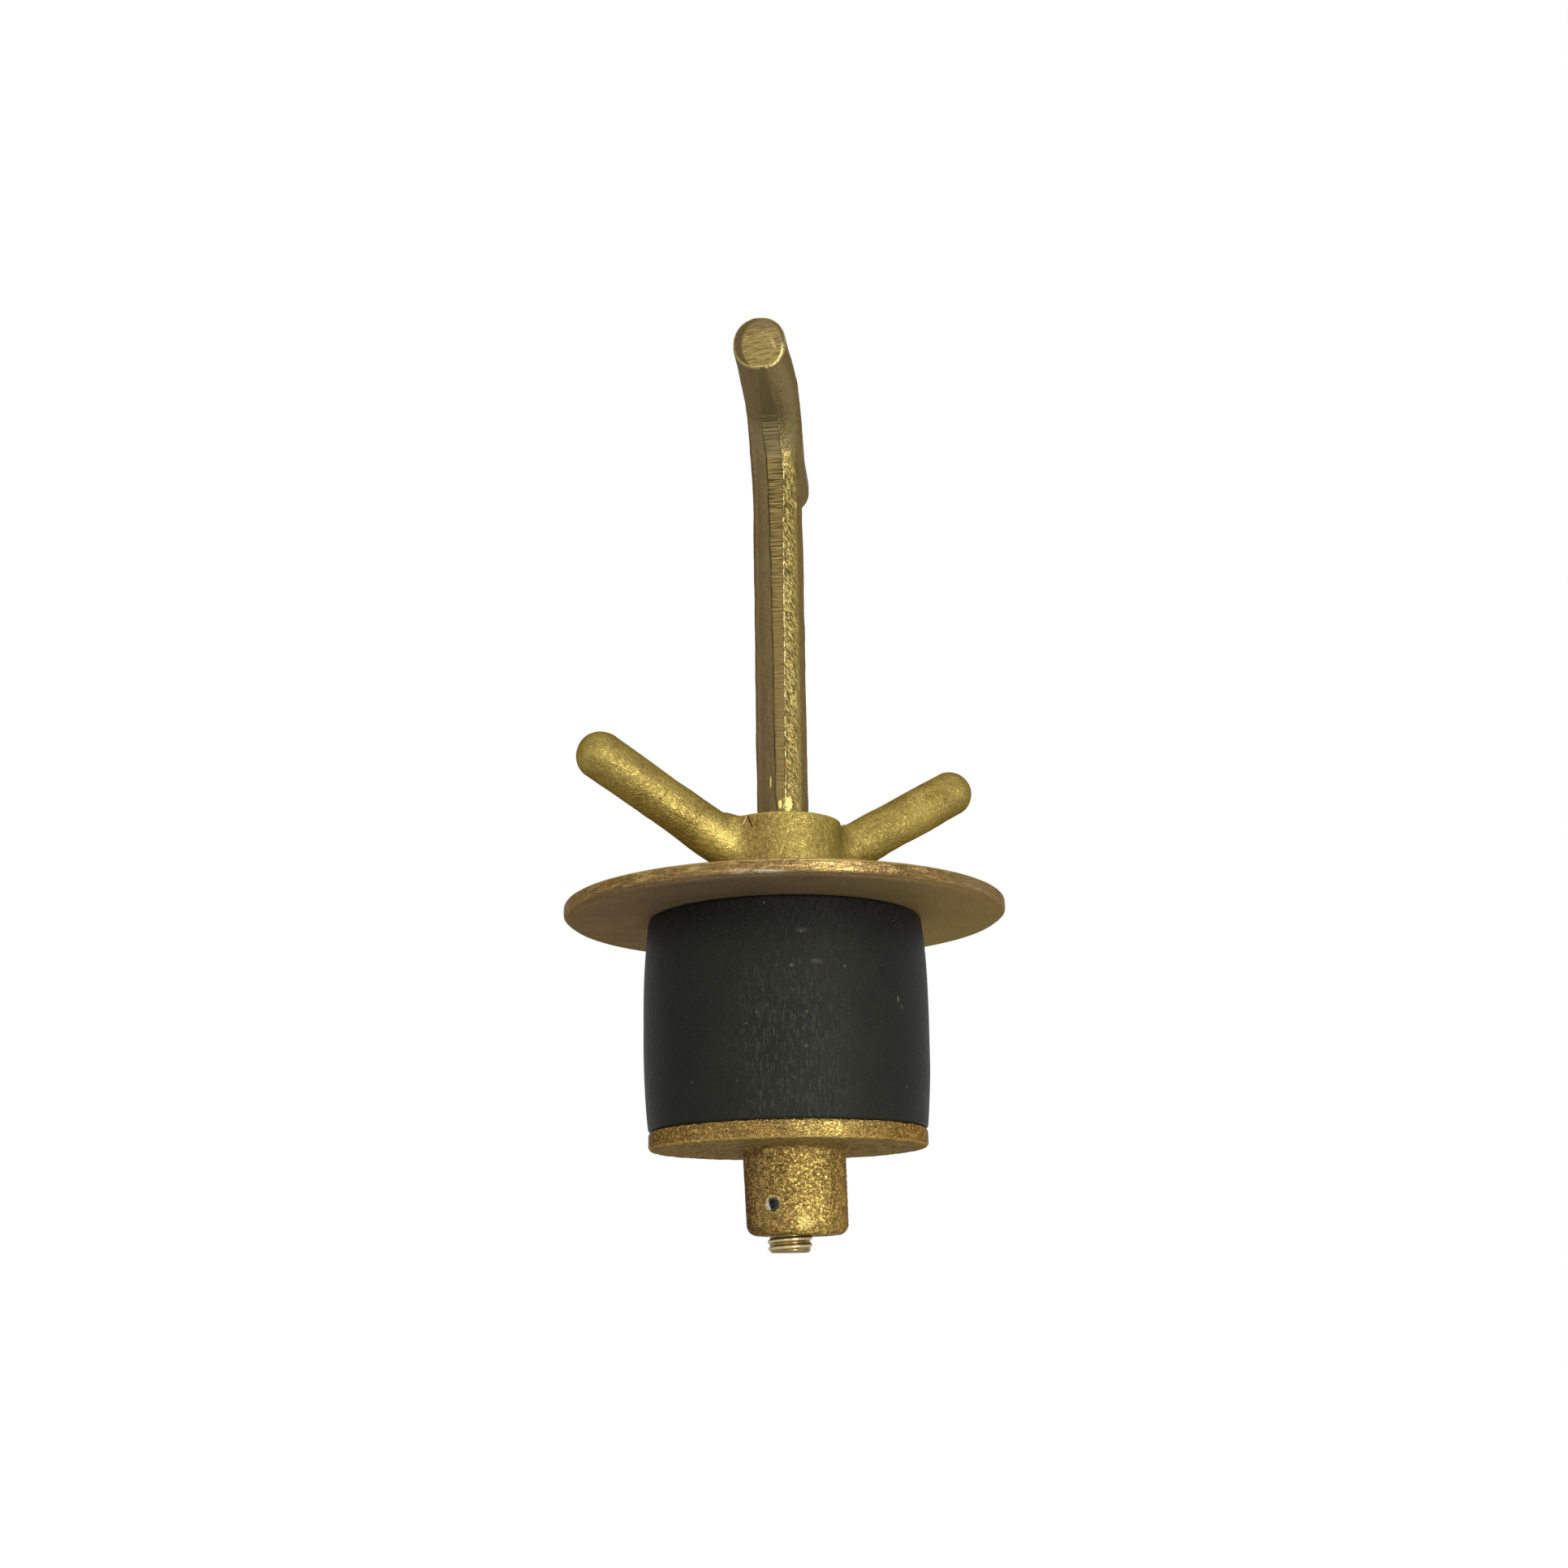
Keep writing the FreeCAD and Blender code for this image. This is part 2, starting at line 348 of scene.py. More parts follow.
def skin(field, low, high, step):
    """Points, quads and normals over the surface where a field is zero."""
    origin = np.array(low) - 2.5 * step
    counts = np.ceil((high - origin) / step).astype(int) + 4
    axes = [first + step * np.arange(count) for first, count in zip(origin, counts)]
    value = field(*np.meshgrid(*axes, indexing="ij", sparse=True))
    strides = np.array([counts[1] * counts[2], counts[2], 1])
    rings, spots = [], []
    for axis, ahead in enumerate(np.eye(3, dtype=int)):
        here = np.argwhere(np.diff(value < 0, axis=axis))
        start, end = value[tuple(here.T)], value[tuple((here + ahead).T)]
        spots.append(np.repeat(here + ahead * (start / (start - end))[:, None], 4, axis=0))
        cell, one, two = here @ strides, strides[(axis + 1) % 3], strides[(axis + 2) % 3]
        ring = np.stack([cell - one - two, cell - two, cell, cell - one], 1)
        ring[start >= 0] = ring[start >= 0][:, ::-1]
        rings.append(ring)
    _, place = np.unique(np.concatenate(rings), return_inverse=True)
    place = place.ravel()
    points = settle(field, origin + averaged(place, np.concatenate(spots)) * step, step)
    faces = place.reshape(-1, 4)
    for _ in range(even_rounds):
        points = settle(field, evened(points, faces), step)
    return points, faces, slope_of(field, points)[0]


def mesh_object(name, points, faces):
    """Smooth-shaded mesh object from points in millimetres."""
    mesh = bpy.data.meshes.new(name)
    mesh.from_pydata((points * MM).tolist(), [], [list(face) for face in faces])
    mesh.validate()
    mesh.polygons.foreach_set("use_smooth", [True] * len(mesh.polygons))
    mesh.update()
    piece = bpy.data.objects.new(name, mesh)
    bpy.context.scene.collection.objects.link(piece)
    return piece


def remember(piece, **masks):
    """Keeps numbers at each point of the piece, by name, for its material to read."""
    for name, values in masks.items():
        layer = piece.data.attributes.new(name.replace("_", " "), "FLOAT", "POINT")
        layer.data.foreach_set("value", np.asarray(values, dtype=np.float32))
    return piece


def lumps(points, size, seed, octaves=2):
    """Even noise from about -1 to 1 at every point, with lumps of one size in millimetres."""
    offset = Vector((seed * 17.3, seed * 5.1, seed * 9.7))
    spots = [Vector(point) / size + offset for point in points]
    return np.array([noise.fractal(spot, 0.8, 2, octaves) for spot in spots])


def uneven(points, *layers):
    """Lumps of several sizes added up, each layer as (height, size, seed)."""
    return sum(height * lumps(points, *rest) for height, *rest in layers)


def worms(points, size, seed):
    """Bead-like bumps from 0 to 1, as cast metal shows, one size in millimetres apart."""
    offset = Vector((seed * 11.9, seed * 3.7, seed * 7.3))
    found = [noise.voronoi(Vector(point) / size + offset)[0] for point in points]
    return np.array([1 - min(1, near[0] * 1.4) for near in found])


# ---- cast pieces

def cast_piece(name, points, faces, low, high, **masks):
    """Piece from the skin of a casting, kept between its lowest and highest places."""
    return remember(mesh_object(name, np.clip(points, low, high), faces), **masks)


def build_handle():
    """Cross bar and stem with the marks of sand, saw and file in the metal."""
    low = (-bar_width / 2 - 1.2, -bar_end, stem_foot)
    high = (bar_width / 2 + 1.2, bar_end, bar_top)
    points, faces, normal = skin(handle_field, low, high, cast_step)
    x, y, z = points.T
    middle, half, place = bar_centred(x, z), strip_half(y, z), z - y
    line = np.stack([0 * x, 0 * y, place], 1)

    outside = np.where(y < 0, outside_face(middle, z), -1)
    sawn = rise(np.abs(normal[:, 1]), 0.8, 0.9) * (np.abs(y) > bar_end - 3)
    sawn = sawn * rise(outside, 0.25, -0.1)
    shoulder = rise(outside, 0, 0.35) * rise(-normal[:, 1], 0.3, 0.6)
    shoulder = shoulder * (y < 3 - bar_end)

    front = rise(handle_outline(y, z), -3, -1.6) * rise(-y, 0.3, 1.2)
    front = front * rise(z, bar_axis + 1, bar_axis - 1) * (1 - sawn)
    strip = front * rise(np.abs(middle), half + 0.15, half - 0.15)
    right = rise(middle, half, half + 0.3) * front
    band = right * rise(middle, half + 3, half + 2)
    wavy_half = half + 0.1 + uneven(line, (0.2, 4.5, 4), (0.06, 1.3, 8))
    left = rise(-middle, wavy_half - 0.1, wavy_half + 0.15) * front
    left = left * rise(place, 112, 98)
    groups = 0.5 + 0.5 * rise(lumps(line, 3, 6), -0.35, 0.2)
    groups = groups * rise(place, file_marks_from, file_marks_from + 3)
    groups = groups * rise(place, file_marks_to, file_marks_to - 1)

    slanting = np.stack([1.1 * x, y, 0.9 * (z + ridge_slant * x)], 1)
    push = uneven(points, (0.10, 9, 1), (0.04, 2.2, 2))
    push = (push + (0.13 * band + 0.01) * lumps(slanting, 1, 3, 1)) * (1 - sawn) * (1 - strip)
    push = push + 0.05 * right - 0.16 * left - 0.02 * sawn
    edge = convexity(handle_field, points) * (1 - strip)
    return cast_piece("handle_cast", points + normal * push[:, None], faces,
                      (*low[:2], stem_foot - 1), high, raised_edge=edge, strip_front=front,
                      strip_half=half, strip_left_half=wavy_half, file_marks=groups,
                      sawn_end=sawn, rounded_end=shoulder, rough_band=band)


def build_nut():
    """Wing nut, sand-cast, with the faced seat and top left smooth."""
    reach, turn = wing_reach + wing_radius, math.radians(wing_turn)
    wide, deep = reach * math.cos(turn) + 2, reach * math.sin(turn) + 4
    low, high = (-wide, -deep, nut_seat), (wide, deep, wing_top)
    points, faces, normal = skin(nut_field, low, high, cast_step)
    radius = np.hypot(points[:, 0], points[:, 1])
    faced = rise(np.abs(normal[:, 2]), 0.9, 0.99) * (radius < boss_radius + 0.5)
    bored = rise(radius, nut_bore + 0.9, nut_bore + 0.3)
    push = uneven(points, (0.16, 10, 11), (0.05, 2.4, 12), (0.02, 1.2, 13, 1)) - 0.1
    push = push * (1 - faced) * (1 - bored)
    return cast_piece("nut_cast", points + normal * push[:, None], faces, low, high,
                      raised_edge=convexity(nut_field, points))


def build_collar():
    """Collar plate and hub; the hub keeps the coarse beads of its casting."""
    low = (-collar_radius, -collar_radius, hub_end)
    high = (collar_radius, collar_radius, collar_top)
    points, faces, normal = skin(collar_field, low, high, collar_step)
    x, y, z = points.T
    radius = np.hypot(x, y)
    across, outwards = from_cross_bore(x, y)
    bore_gap = np.hypot(across, z - cross_bore_height)
    bore_rim = rise(np.abs(bore_gap - cross_bore_rim), 0.25, 0.08) * (outwards > 0)
    near_bore = rise(bore_gap, 1.9, 1.45) * (outwards > 0)
    free = rise(radius, tail_bore + 0.2, tail_bore + 0.8) * (1 - near_bore)
    on_hub = rise(z, plate_low - 0.1, plate_low - 0.6) * free
    on_plate = 1 - on_hub
    on_rim = rise(radius, collar_radius - 1.2, collar_radius - 0.3) * on_plate
    under = rise(-normal[:, 2], 0.7, 0.95) * on_plate * free
    coarse = on_hub * (0.4 + 0.6 * rise(x, -6, -3))
    push = (0.13 * worms(points, bead_size, 21) + 0.06 * lumps(points, 1.1, 22)) * coarse
    push = push - 0.11 * on_hub - 0.05 * on_plate * free * (z < collar_top - 0.1)
    push = push + 0.03 * lumps(points, 1.4, 23) * on_rim + 0.06 * lumps(points, 2, 24) * under
    return cast_piece("collar_cast", points + normal * push[:, None], faces, low, high,
                      raised_edge=convexity(collar_field, points), bore_rim=bore_rim)


# ---- turned and moulded pieces

def arc(centre, radius, start, end, count):
    """Points of a rounded edge in an outline of (radius, height) points, turns in degrees."""
    turns = np.radians(np.linspace(start, end, count))
    return [(centre[0] + radius * math.cos(turn), centre[1] + radius * math.sin(turn))
            for turn in turns]


def divided(outline, longest):
    """Closed outline with every long run divided."""
    result = []
    for (r0, z0), (r1, z1) in zip(outline, outline[1:] + outline[:1]):
        count = max(1, int(math.ceil(math.hypot(r1 - r0, z1 - z0) / longest)))
        result += [(r0 + (r1 - r0) * i / count, z0 + (z1 - z0) * i / count) for i in range(count)]
    return result


def round_points(radius, height, turns):
    """Points about Z, one spoke of them for each turn."""
    places = (radius * np.cos(turns), radius * np.sin(turns), height)
    return np.stack(np.broadcast_arrays(*places), 2).reshape(-1, 3)


def round_faces(spokes, count, steps):
    """Quads between neighbouring spokes of so many points, over so many steps along each."""
    i, j = np.meshgrid(np.arange(spokes), np.arange(steps), indexing="ij")
    here, beside = i * count, (i + 1) % spokes * count
    after = (j + 1) % count
    return np.stack([here + j, beside + j, beside + after, here + after], 2).reshape(-1, 4)


def spread(spokes):
    """Evenly spread turns in radians, one row for each spoke."""
    return np.arange(spokes)[:, None] * 2 * math.pi / spokes


def turned(outline, spokes, start, end, depth, waviness, size, seed):
    """Ring turned about Z; between two radii its wall is drawn in by a small uneven depth."""
    radius, height = np.array(outline).T
    points = round_points(radius, height, spread(spokes))
    radius = np.hypot(points[:, 0], points[:, 1])
    inwards = rise(radius, start, end) * (depth + waviness * lumps(points, size, seed))
    points[:, :2] *= (1 - inwards / np.maximum(radius, 1))[:, None]
    return points, round_faces(spokes, len(outline), len(outline))


def build_cover():
    """Cover disc with softly rounded rim edges and a chamfer under the rim."""
    rim, foot, top = cover_radius, cover_under, cover_top_round
    wide, high = cover_chamfer_width, cover_chamfer_height
    outline = [(cover_bore, foot), (rim - wide - 0.12, foot), (rim - wide + 0.1, foot + 0.04),
               (rim - 0.22, foot + high - 0.12), (rim - 0.05, foot + high + 0.05),
               (rim, foot + high + 0.25)]
    outline += arc((rim - top, cover_top - top), top, 0, 90, 9) + [(cover_bore, cover_top)]
    points, faces = turned(divided(outline, 1.1), 420, rim - 1.5, rim - 0.4, 0.05, 0.04, 3, 31)
    radius, height = np.hypot(points[:, 0], points[:, 1]), points[:, 2]
    corner = np.maximum(rim - radius, np.minimum(height - foot, cover_top - height))
    return remember(mesh_object("cover_disc", points, faces),
                    raised_edge=rise(corner, 0.6, 0.25))


def build_sleeve():
    """Rubber tube, slightly barrelled, with rounded ends."""
    edge, end = sleeve_edge_round, sleeve_end_radius
    middle, half = (sleeve_head + sleeve_foot) / 2, (sleeve_head - sleeve_foot) / 2
    wall = [(end + (1 - abs(share) ** 2.6) * (sleeve_radius - end), middle + share * (half - edge))
            for share in np.linspace(-1, 1, 41)]
    outline = [(sleeve_bore, sleeve_foot)]
    outline += arc((end - edge, sleeve_foot + edge), edge, -90, 0, 8)[:-1] + wall
    outline += arc((end - edge, sleeve_head - edge), edge, 0, 90, 8)[1:]
    outline += [(sleeve_bore, sleeve_head)]
    points, faces = turned(divided(outline, 1.3), 300, end - 2, end - 0.5, 0.06, 0.05, 11, 32)
    return mesh_object("sleeve_body", points, faces)


def threaded_rod(name, heights, spokes, crest, pitch, depth_share, chamfer, worn, *blends):
    """Closed threaded rod about Z; each blend takes it over to a plain radius between heights."""
    count, turns = len(heights), spread(spokes)
    phase = np.mod(heights / pitch - turns / (2 * np.pi), 1)
    radius = crest - depth_share * pitch * rise(np.abs(2 * phase - 1), 0.12, 0.88)
    for start, end, plain in blends:
        radius = radius + (plain - radius) * rise(heights, start, end)
    radius = np.minimum(radius, crest - chamfer + heights - heights[0])
    points = round_points(radius, heights, turns)
    faces = round_faces(spokes, count, count - 1).tolist()
    foot, head = len(points), len(points) + 1
    for spoke in range(spokes):
        here, beside = spoke * count, (spoke + 1) % spokes * count
        faces += [[foot, beside, here], [head, here + count - 1, beside + count - 1]]
    points = np.concatenate([points, [[0, 0, heights[0]], [0, 0, heights[-1]]]])
    edge = rise(np.append(radius, [0, 0]), crest - worn[0], crest - worn[1])
    return remember(mesh_object(name, points, faces), raised_edge=edge)


def build_screw():
    """Coarse screw for the wing nut, running out into the plain shank inside the sleeve."""
    heights = np.arange(thread_low - 2, stem_foot, 0.15)
    heights = np.concatenate([[collar_top], heights, [stem_foot]])
    return threaded_rod("screw_thread", heights, 96, screw_crest, screw_pitch, thread_depth_share,
                        0, (0.35, 0.05), (thread_low + 1, thread_low - 1.5, shank_radius),
                        (stem_foot - 1.2, stem_foot - 0.2, screw_crest - 0.5))


def build_tail():
    """Threaded tail that holds the collar, with a chamfered end."""
    heights = np.concatenate([np.arange(tail_end, hub_end + 3, 0.07), [collar_top]])
    return threaded_rod("tail_thread", heights, 144, tail_crest, tail_pitch, tail_depth_share,
                        tail_chamfer, (0.3, 0.03), (hub_end + 1.5, hub_end + 3, tail_crest - 0.3))


# ---- node building

def arithmetic(operation, turned_round=False):
    """Method that adds one step of arithmetic to a value's tree."""
    def method(value, *others):
        values = (*others, value) if turned_round else (value, *others)
        return value.bench.sum(operation, *values)
    return method


class Value:
    """One output in a node tree. Arithmetic on it adds nodes to the same tree."""

    __add__, __mul__, __abs__ = arithmetic("ADD"), arithmetic("MULTIPLY"), arithmetic("ABSOLUTE")
    __sub__, __rsub__ = arithmetic("SUBTRACT"), arithmetic("SUBTRACT", True)
    __truediv__, __rtruediv__ = arithmetic("DIVIDE"), arithmetic("DIVIDE", True)

    def __init__(self, bench, socket):
        self.bench, self.socket = bench, socket

    def rise(self, start, end, low=0, high=1):
        """Smooth step between two places; the start may be above the end."""
        return self.bench.value("ShaderNodeMapRange", {
            "Value": self, "From Min": start, "From Max": end, "To Min": low, "To Max": high,
        }, "Result", interpolation_type="SMOOTHSTEP")

    def band(self, low, high, soft):
        """1 between two places, fading out over a soft border."""
        return self.rise(low - soft, low + soft) * self.rise(high + soft, high - soft)


class Bench:
    """Places nodes in one node tree and joins their sockets."""

    def __init__(self, tree):
        self.tree = tree

    def feed(self, socket, value):
        if isinstance(value, Value):
            self.tree.links.new(value.socket, socket)
        else:
            socket.default_value = value

    def put(self, kind, feeds=None, **settings):
        """Adds a node, sets it up and feeds its inputs with values of the tree or plain ones."""
        node = self.tree.nodes.new(kind)
        for name, setting in settings.items():
            setattr(node, name, setting)
        for name, value in (feeds or {}).items():
            self.feed(node.inputs[name], value)
        return node

    def value(self, kind, feeds=None, output=0, **settings):
        """Adds a node and gives one of its outputs."""
        return Value(self, self.put(kind, feeds, **settings).outputs[output])

    def sum(self, operation, *values):
        """One step of arithmetic."""
        return self.value("ShaderNodeMath", dict(enumerate(values)), operation=operation)

    def most(self, first, *others):
        """The highest of several values, which joins masks."""
        for other in others:
            first = self.sum("MAXIMUM", first, other)
        return first

    def length(self, x, y):
        return self.sum("SQRT", x * x + y * y)

    def tint(self, share, a, b):
        """Colour between two colours, each a colour of the tree or three screen values."""
        a, b = (c if isinstance(c, Value) else shade(*c) for c in (a, b))
        return self.value("ShaderNodeMix", {0: share, 6: a, 7: b}, 2, data_type="RGBA")

    def grain(self, point, size, detail=2, rough=0.5, twist=0):
        """Cloudy noise from 0 to 1 with spots of one size in millimetres."""
        return self.value("ShaderNodeTexNoise", {
            "Vector": point, "Scale": 1 / size, "Detail": detail, "Roughness": rough,
            "Distortion": twist,
        })

    def scaled(self, point, unit):
        """The point measured in another unit."""
        return self.value("ShaderNodeVectorMath", {0: point, "Scale": 1 / unit}, operation="SCALE")

    def stretched(self, point, x, y, z):
        """The point divided along each axis, so that noise is drawn out along the larger ones."""
        shares = (1 / x, 1 / y, 1 / z)
        return self.value("ShaderNodeVectorMath", {0: point, 1: shares}, operation="MULTIPLY")

    def split(self, point):
        node = self.put("ShaderNodeSeparateXYZ", {"Vector": point})
        return [Value(self, output) for output in node.outputs]

    def joined(self, x, y, z):
        return self.value("ShaderNodeCombineXYZ", {"X": x, "Y": y, "Z": z})

    def nearest(self, point, size):
        """Distance to the nearest of many scattered dots, one size in millimetres apart."""
        feeds = {"Vector": point, "Scale": 1 / size, "Randomness": 1}
        return self.value("ShaderNodeTexVoronoi", feeds, "Distance")

    def stroke(self, x, z, foot, head, half):
        """1 along a straight mark on the front, from its foot to its head, each as (x, z)."""
        lean = (head[0] - foot[0]) / (head[1] - foot[1])
        aside = x - (z * lean + (foot[0] - lean * foot[1]))
        return abs(aside).rise(half, 0.3 * half) * z.band(foot[1], head[1], 0.2)

    def spot(self, point, centre, size, ragged, tall=1, soft=0.3):
        """1 round a place on the piece, out to a size in millimetres, with a ragged border."""
        point = self.stretched(point, 1, 1, tall)
        feeds = {0: point, 1: (*centre[:2], centre[2] / tall)}
        gap = self.value("ShaderNodeVectorMath", feeds, "Value", operation="DISTANCE")
        return (gap + ragged * size).rise(size, (1 - soft) * size)

    def kept(self, name):
        """Number that the piece's mesh keeps at each point."""
        return self.value("ShaderNodeAttribute", None, "Fac", attribute_name=name)

    def use(self, group, **feeds):
        """Places a shared effect with its own values and gives what it puts out."""
        node = self.put("ShaderNodeGroup", feeds, node_tree=group)
        values = [Value(self, output) for output in node.outputs]
        return values if len(values) > 1 else values[0]


def effect(name, draw, outputs, **inputs):
    """One shared effect: a node group with named values going in and coming out."""
    tree = bpy.data.node_groups.new(name, "ShaderNodeTree")
    for label, value in inputs.items():
        kind = "NodeSocketVector" if value is None else "NodeSocketFloat"
        socket = tree.interface.new_socket(name=label, in_out="INPUT", socket_type=kind)
        if value is not None:
            socket.default_value = value
    for label in outputs:
        tree.interface.new_socket(name=label, in_out="OUTPUT", socket_type="NodeSocketFloat")
    bench = Bench(tree)
    entry = bench.put("NodeGroupInput")
    results = draw(bench, *(Value(bench, entry.outputs[label]) for label in inputs))
    bench.put("NodeGroupOutput", dict(zip(outputs, results)))
    return tree


def draw_sand(bench, point, grain, depth):
    """Skin of a sand casting: worm-like ridges and grains over broader unevenness."""
    at = bench.scaled(point, grain)
    ridges = abs(bench.grain(at, 1.3, 1, 0.5, 1) - 0.5).rise(0.10, 0)
    grains = bench.grain(at, 0.7, 2, 0.6, 0.4)
    height = ridges * 0.5 + grains + bench.grain(at, 6) * 1.2
    hollows = grains.rise(0.5, 0.32) * (1 - ridges * 0.6)
    return height * depth, ridges * grains.rise(0.35, 0.6), hollows


def draw_tarnish(bench, point, spread, amount):
    """Blotches of brown film, with ragged borders."""
    cloud = bench.grain(bench.scaled(point, spread), 1, 6, 0.62, 0.6)
    middle = 0.75 - amount * 0.5
    return [cloud.rise(middle - 0.13, middle + 0.13)]


def draw_edge_wear(bench, point, edge, amount):
    """Where handling has rubbed the raised edges bright, with a ragged border."""
    ragged = bench.grain(point, 0.9, 4, 0.6) - 0.5
    return [(edge + ragged).rise(0.35, 0.75) * amount]


def draw_turned_lines(bench, point, pitch, length, depth):
    """Fine lines left round the axis by turning and by use."""
    x, y, z = bench.split(point)
    along = bench.sum("ARCTAN2", y, x) * length
    lines = bench.grain(bench.joined(bench.length(x, y) / pitch, z / pitch, along), 1, 3, 0.6)
    return lines * bench.grain(point, 3).rise(0.3, 0.6, 0.4, 1) * depth, lines


def draw_painted_downward_shading(bench, start, full):
    """How far a finished surface looks down; used to paint light and shade on lower faces."""
    _, _, up = bench.split(bench.value("ShaderNodeNewGeometry", None, "True Normal"))
    return [up.rise(start, full)]


sand = effect("sand-cast skin", draw_sand, ["Height", "Peaks", "Hollows"],
              Point=None, Grain=0.3, Depth=0.03)
tarnish = effect("brown tarnish", draw_tarnish, ["Mask"], Point=None, Spread=8, Amount=0.5)
edge_wear = effect("rubbed edges", draw_edge_wear, ["Mask"], Point=None, Edge=0, Amount=0.5)
turned_lines = effect("turned lines", draw_turned_lines, ["Height", "Tone"],
                      Point=None, Pitch=0.2, Length=2, Depth=0.01)
# Mask of downward-facing surfaces, for painting light and shade on them
painted_downward_shading = effect("underside film", draw_painted_downward_shading, ["Mask"], From=-0.2, Full=-0.9)


def shade(red, green, blue):
    """Colour written as it looks on screen, turned into the linear values that shaders take."""
    linear = [(c / 255 / 12.92) if c <= 10 else ((c / 255 + 0.055) / 1.055) ** 2.4
              for c in (red, green, blue)]
    return (*linear, 1)


# ---- finishes

class Finish(Bench):
    """A material in the making: shader, point on the piece in millimetres, and colour so far."""

    def __init__(self, name, metallic, sheen, edge=None):
        self.material = bpy.data.materials.new(name)
        self.material.use_nodes = True
        super().__init__(self.material.node_tree)
        self.shader = next(node for node in self.tree.nodes if node.type == "BSDF_PRINCIPLED")
        self.shader.inputs["Metallic"].default_value = metallic
        self.shader.inputs["Specular IOR Level"].default_value = sheen
        if edge:
            self.shader.inputs["Specular Tint"].default_value = shade(*edge)
        self.point = self.scaled(self.value("ShaderNodeTexCoord", None, "Object"), MM)
        self.x, self.y, self.z = self.split(self.point)

    def cast(self, grain, depth, point=None):
        return self.use(sand, Point=point or self.point, Grain=grain, Depth=depth)

    def film(self, spread, amount, point=None):
        return self.use(tarnish, Point=point or self.point, Spread=spread, Amount=amount)

    def worn(self, amount):
        return self.use(edge_wear, Point=self.point, Edge=self.kept("raised edge"), Amount=amount)

    def lines(self, pitch, length, depth):
        return self.use(turned_lines, Point=self.point, Pitch=pitch, Length=length, Depth=depth)

    def ragged(self, size, rough=0.6):
        """Noise about 0 that breaks up a border."""
        return self.grain(self.point, size, 3, rough) - 0.5

    def turn(self):
        """Turn about the axis in radians."""
        return self.sum("ARCTAN2", self.y, self.x)

    def start(self, mask, plain, filmed):
        self.colour = self.tint(mask, plain, filmed)

    def lay(self, *layers):
        """Covers the colour so far with more colours, each as (where, how much, colour)."""
        for mask, share, colour in layers:
            self.colour = self.tint(mask if share == 1 else mask * share, self.colour, colour)

    def done(self, roughness, height):
        """Gives the shader its colour, its roughness and a bump from a height in millimetres."""
        feeds = {"Height": height, "Distance": MM, "Strength": 1}
        bump = self.value("ShaderNodeBump", feeds, "Normal")
        feeds = {"Base Color": self.colour, "Roughness": roughness, "Normal": bump}
        for name, value in feeds.items():
            self.feed(self.shader.inputs[name], value)
        return self.material


